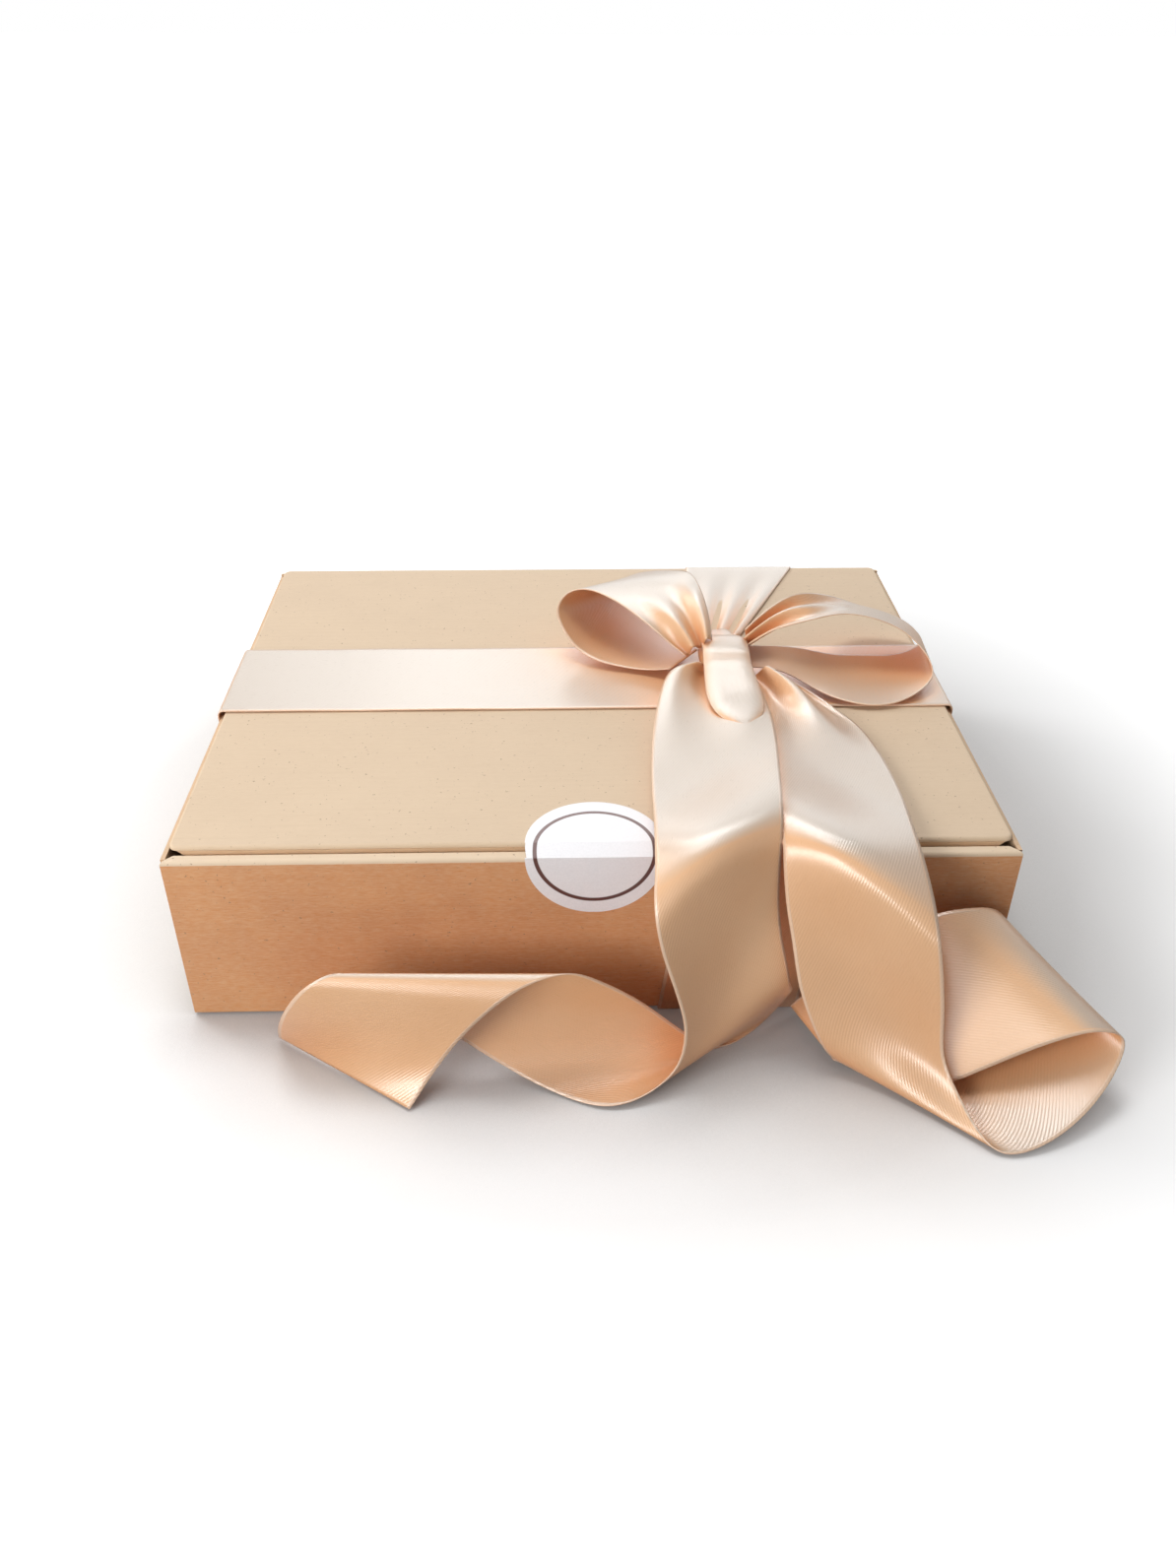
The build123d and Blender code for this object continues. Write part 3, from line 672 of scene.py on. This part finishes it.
def rounded(across, up, start, end):
    """Quarter turn of a band about the middle of its bend, as places across and up."""
    angles = [radians(start + (end - start) * k / bend_steps) for k in range(bend_steps + 1)]
    return [(across + band_bend * cos(angle), up + band_bend * sin(angle)) for angle in angles]


# Paths of the bands, all in mm: how far out they run at the sides, front and back and how high, the
# radius of their bends, the heights they pass on their way down, their width, and their width at
# the knot
band_side, band_face, band_top = 142.5, 111.6, 71.55
band_bend, bend_steps = 2.0, 6
side_heights, drop_heights = (35, 0.3), (55, 38, 20, 0.3)
band_width, tied_width = 50, 18
along_x, along_y = (1, 0, 0), (0, 1, 0)

# Middle of the cross band along Y and the places it passes on the lid, the front band's X on the
# lid and at its foot, the back band's X at the knot and at the edge, and its first Y
cross_y, cross_places = 4.5, range(-130, 131, 20)
front_top_x, front_foot_x = 56, 48
back_tied_x, back_edge_x, back_start_y, back_steps = 54, 75, 31, 8

# Front band from under the knot towards the lid's edge: X, Y, Z and width
front_run = (
    (54, -22, 71.7, 18),
    (54.4, -30, 71.6, 26),
    (56, -45, band_top, 49),
    (56, -60, band_top, band_width),
    (56, -85, band_top, band_width),
)


def make_bands(finish):
    """Ribbon round the box: across from side to side, and from the knot to the front and the back."""
    bend_x, bend_y, bend_z = band_side - band_bend, band_face - band_bend, band_top - band_bend
    outline = [(-band_side, z) for z in reversed(side_heights)] + rounded(-bend_x, bend_z, 180, 90)
    outline += [(x, band_top) for x in cross_places] + rounded(bend_x, bend_z, 90, 0)
    outline += [(band_side, z) for z in side_heights]
    points = [((x, cross_y, z), along_y, band_width) for x, z in outline]
    made = [ribbon_sheet("cross_band", path_stations(points), flat_lay, finish)]
    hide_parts("cross_band_top", "cross_band_left", "cross_band_right")

    points = [((x, y, z), along_x, width) for x, y, z, width in front_run]
    points += [((front_top_x, y, z), along_x, band_width) for y, z in rounded(-bend_y, bend_z, 90, 180)]
    for z in drop_heights:
        x = front_foot_x + (front_top_x - front_foot_x) * z / band_top
        points.append(((x, -band_face, z), along_x, band_width))
    made.append(ribbon_sheet("front_band", path_stations(points), gathered(3, 0.04), finish))
    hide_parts("front_band_top", "front_band_drop")

    points = []
    for k in range(back_steps + 1):
        share = k / back_steps
        x = back_tied_x + (back_edge_x - back_tied_x) * share
        y = back_start_y + (bend_y - back_start_y) * share
        points.append(((x, y, band_top), along_x, tied_width + (band_width - tied_width) * share))
    for y, z in rounded(bend_y, bend_z, 90, 0)[1:]:
        points.append(((back_edge_x, y, z), along_x, band_width))
    points += [((back_edge_x, band_face, z), along_x, band_width) for z in drop_heights]
    made.append(ribbon_sheet("back_band", path_stations(points), gathered(3, 0.09), finish))
    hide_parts("back_band_top", "back_band_drop")


def flat_lay(share, gone, width):
    """Slight rucks across the flat bands."""
    ruck = sin(gone * 2 * pi / ruck_long + long_slant * share)
    ruck += short_share * sin(gone * 2 * pi / ruck_short - short_slant * share + 1)
    return ruck_height * (ruck + 1 + short_share)


# Ribbon below the base: where its middle starts and ends, as X and Y in mm, and which way it lies
under_spans = {
    "under_band_cross": ((-141.9, cross_y), (141.9, cross_y), along_y),
    "under_band_front": ((48, -110.9), (52, -20.8), along_x),
    "under_band_back": ((62, 29.8), (75, 110.9), along_x),
}
under_steps = 12


def make_under_bands(finish):
    """The ribbon below the base, where it crosses itself."""
    for node, (start, end, across) in under_spans.items():
        low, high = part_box(node)
        middle = Vector((0, 0, (low[2] + high[2]) / 2))
        begin, last = Vector((*start, 0)) * MM, Vector((*end, 0)) * MM
        centres = [begin.lerp(last, k / under_steps) + middle for k in range(under_steps + 1)]
        stations = [(centre, Vector(across), ribbon_width) for centre in centres]
        piece, area = ribbon_sheet(f"{node}_cloth", stations, flat_lay, finish, "carton")
        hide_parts(node)


def make_bow(finish):
    """Two loops and two tails."""
    loop_origin = Vector((knot_x, cross_band_y, knot_middle))
    loop_scale = Vector((ribbon_width, ribbon_width, ribbon_width))
    tail_origin = Vector((knot_x, knot_front, 0))
    tail_scale = Vector((ribbon_width, front_face - knot_front, box_height))
    loop_frame, tail_frame = (loop_origin, loop_scale), (tail_origin, tail_scale)
    ends = (
        ("bow_loop_left", left_loop_shares, loop_frame, gathered(2, 0.035, 0.4)),
        ("bow_loop_right", right_loop_shares, loop_frame, gathered(2, 0.04, 1.1)),
        ("tail_left", left_tail_shares, tail_frame, gathered(1.5, 0.06, 0.8)),
        ("tail_right", right_tail_shares, tail_frame, gathered(1.5, 0.05, 2.4)),
    )
    leans = {
        "tail_left": {"lean_at": slanting_fold(-1, left_peaks, coil_curl), "lean": left_way},
        "tail_right": {"lean_at": slanting_fold(1, right_peaks), "lean": right_way},
    }
    for node, table, (origin, scale), depth in ends:
        stations = softened(table_stations(table, origin, scale), easing_rounds)
        piece, area = ribbon_sheet(f"{node}_cloth", stations, depth, finish, **leans.get(node, {}))
        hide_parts(node)


# Knot: rings along it and points round it, how slim its ends are and how it swells between them,
# its creases, its slight flatness, and the share of the ribbon's width that lies round it
knot_rings, knot_sides = 36, 96
knot_end, knot_swell = 0.64, 0.6
crease_count, crease_depth, crease_twist = 7, 0.055, 0.6
flat_count, flat_depth = 3, 0.03
knot_cloth_start, knot_cloth_share = 0.2, 0.6


def make_knot(finish):
    """Knot: ribbon drawn over the crossing, with pleats that run over it from front to back."""
    low, high = (Vector(corner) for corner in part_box("bow_knot"))
    middle = (low + high) / 2
    half = (high - low) / 2
    rings, sides = knot_rings, knot_sides
    vertices, faces = [], []
    for k in range(rings + 1):
        along = -1 + 2 * k / rings
        fullness = knot_end + (1 - knot_end) * (1 - along * along) ** knot_swell
        for j in range(sides):
            angle = 2 * pi * j / sides
            crease = (0.5 + 0.5 * cos(crease_count * angle + crease_twist * along)) ** 3
            pleat = 1 - crease_depth * crease - flat_depth * cos(flat_count * angle + 1)
            reach = fullness * pleat
            vertices.append(
                (
                    middle.x + half.x * reach * cos(angle),
                    middle.y + half.y * along,
                    middle.z + half.z * reach * sin(angle),
                )
            )
    for k in range(rings):
        here, beyond = k * sides, (k + 1) * sides
        for j in range(sides):
            after = (j + 1) % sides
            faces.append((here + j, beyond + j, beyond + after, here + after))
    faces.append(tuple(range(sides)))
    faces.append(tuple(reversed(range(rings * sides, (rings + 1) * sides))))
    knot = add_object("knot_cloth", vertices, faces, finish)
    cloth = knot.data.uv_layers.new(name="cloth")
    for loop in knot.data.loops:
        k, j = divmod(loop.vertex_index, sides)
        across = knot_cloth_start * ribbon_width + knot_cloth_share * ribbon_width * j / sides
        cloth.data[loop.index].uv = (across, k / rings * 2 * half.y)
    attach(knot, "ribbon")
    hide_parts("bow_knot")


# Fold over the knot, in mm: centre, line across it, and width
tongue_rows = (
    (54.6, 14, 84, 1, 0, 0, 17),
    (54.6, 8, 88.2, 1, 0, 0, 18),
    (54.6, 1, 89.6, 1, 0, 0, 18),
    (54.4, -6, 89, 1, 0, 0.03, 18),
    (54.4, -12, 86.8, 1, 0, 0.03, 18.5),
    (54.8, -21, 84.8, 1, 0, 0.02, 20),
    (55.4, -29, 83.2, 1, 0, 0, 21),
    (56, -37, 82, 1, 0, 0, 19),
    (56.5, -43, 81, 1, 0, 0, 13),
    (57, -47.5, 80, 1, 0, 0, 4),
)
tongue_turn = -1.6 * MM


def make_tongue(finish):
    """Fold of ribbon that comes over the knot and runs into the left tail."""
    stations = path_stations([(row[:3], row[3:6], row[6]) for row in smoothed(tongue_rows)])
    piece, area = ribbon_sheet("knot_tongue", stations, tongue_curve, finish)


def tongue_curve(share, gone, width):
    """Edges turned under, as a fold of doubled ribbon has."""
    return tongue_turn * abs(2 * share - 1) ** 4


# Pad: steps across and deep, the size of a quilted cell, how steeply its rim rises, and the shares
# of its height that rim, crown, cells and lifted underside take
pad_columns, pad_rows = 110, 86
quilt_cell = 12 * MM
rim_slope = 6
pad_rim, pad_crown, pad_puff, pad_lift = 0.45, 0.35, 0.2, 0.4


def make_pad():
    """Quilted paper pad: crowned, with a grid of shallow embossed cells."""
    low, high = (Vector(corner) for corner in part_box("cushion_pad"))
    size = high - low
    columns, rows = pad_columns, pad_rows
    vertices, faces = [], []
    for side in (0, 1):
        for k in range(rows + 1):
            for j in range(columns + 1):
                x = low.x + size.x * j / columns
                y = low.y + size.y * k / rows
                near_side = rim_slope * min(j, columns - j) / columns
                near_end = rim_slope * min(k, rows - k) / rows
                edge = min(1, near_side, near_end)
                puff = sqrt(abs(sin(pi * x / quilt_cell) * sin(pi * y / quilt_cell)))
                if side:
                    z = low.z + size.z * (pad_rim + pad_crown * sqrt(edge) + pad_puff * puff * edge)
                else:
                    z = low.z + size.z * pad_lift * (1 - sqrt(edge))
                vertices.append((x, y, z))
    count = (rows + 1) * (columns + 1)
    for k in range(rows):
        for j in range(columns):
            a = k * (columns + 1) + j
            b, c, d = a + 1, a + columns + 2, a + columns + 1
            faces.append((a, d, c, b))
            faces.append((count + a, count + b, count + c, count + d))
    rim = list(range(columns)) + [k * (columns + 1) + columns for k in range(rows)]
    rim += [rows * (columns + 1) + j for j in range(columns, 0, -1)]
    rim += [k * (columns + 1) for k in range(rows, 0, -1)]
    for a, b in zip(rim, rim[1:] + rim[:1]):
        faces.append((a, b, count + b, count + a))
    pad = add_object("pad_quilt", vertices, faces, card("pad_paper", roughness=0.8))
    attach(pad, "carton")
    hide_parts("cushion_pad")


# Floor in metres: how far it goes and how low it lies, how near things must be for its painted shadow,
# and between which distances it turns to plain white, with its tones as seen, its painted shadow and as
# it lights the box
floor_reach, floor_drop = 6, 0.2 * MM
floor_shade_reach = 90 * MM
floor_white_from, floor_white_to = 0.2, 0.5
floor_tones = ((0.97, 0.97, 0.97), (0.98, 0.98, 0.98))
floor_painted_shadow = (0.42, 0.42, 0.42)
floor_bounce = (0.55, 0.54, 0.53)


def make_floor():
    """White floor that keeps its shadows near the box, deepened by painted shadow, and is plain white
    further out.
    """
    shader = Shader("floor_white")
    shader.set("Roughness", 0.9)
    grain = shader.noise(shader.place, 40, 2, 0.5)
    seen = shader.tree.nodes.new("ShaderNodeLightPath").outputs["Is Camera Ray"]
    pale = shader.mix(shader.span(grain, 0.3, 0.7), *floor_tones)
    # Painted shadow: the floor is greyed where the box and ribbon are near
    painted_shadow_share = shader.span(shader.openness(floor_shade_reach), 0.35, 0.95)
    pale = shader.mix(painted_shadow_share, floor_painted_shadow, pale)
    shader.set("Base Color", shader.mix(seen, floor_bounce, pale))
    shader.set("Specular IOR Level", 0.1)
    away = shader.tree.nodes.new("ShaderNodeVectorMath")
    away.operation = "LENGTH"
    shader.feed(away.inputs[0], shader.place)
    glow = shader.span(away.outputs["Value"], floor_white_from, floor_white_to, 0.03, 1.0)
    shader.set("Emission Color", (1.0, 1.0, 1.0, 1.0))
    shader.set("Emission Strength", shader.math("MULTIPLY", seen, glow))
    signs = ((-1, -1), (1, -1), (1, 1), (-1, 1))
    corners = [(x * floor_reach, y * floor_reach, 0) for x, y in signs]
    floor = add_object("floor", corners, [(0, 1, 2, 3)], shader.material)
    floor.location.z = -floor_drop


# Strength of the world's light, and of its white where it is seen or mirrored
world_light, world_white = 0.26, 1.0


def make_world():
    """Soft grey light all round, seen and mirrored as white."""
    world = bpy.data.worlds.new("studio")
    world.use_nodes = True
    bpy.context.scene.world = world
    tree = world.node_tree
    shine = tree.nodes["Background"]
    paths = tree.nodes.new("ShaderNodeLightPath")
    shown = paths.outputs["Is Camera Ray"]
    for kind in ("Is Transmission Ray", "Is Glossy Ray"):
        either = tree.nodes.new("ShaderNodeMath")
        either.operation = "MAXIMUM"
        tree.links.new(shown, either.inputs[0])
        tree.links.new(paths.outputs[kind], either.inputs[1])
        shown = either.outputs[0]
    strength = tree.nodes.new("ShaderNodeMapRange")
    strength.inputs["To Min"].default_value = world_light
    strength.inputs["To Max"].default_value = world_white
    tree.links.new(shown, strength.inputs["Value"])
    tree.links.new(strength.outputs[0], shine.inputs["Strength"])
    shine.inputs["Color"].default_value = (1, 1, 1, 1)


make_camera()
make_lights()
make_world()
make_floor()
dress_frame()
ribbon_finish = satin()
make_bands(ribbon_finish)
make_under_bands(ribbon_finish)
make_knot(ribbon_finish)
make_tongue(ribbon_finish)
make_bow(ribbon_finish)
make_pad()
bpy.context.scene.view_settings.view_transform = "Standard"
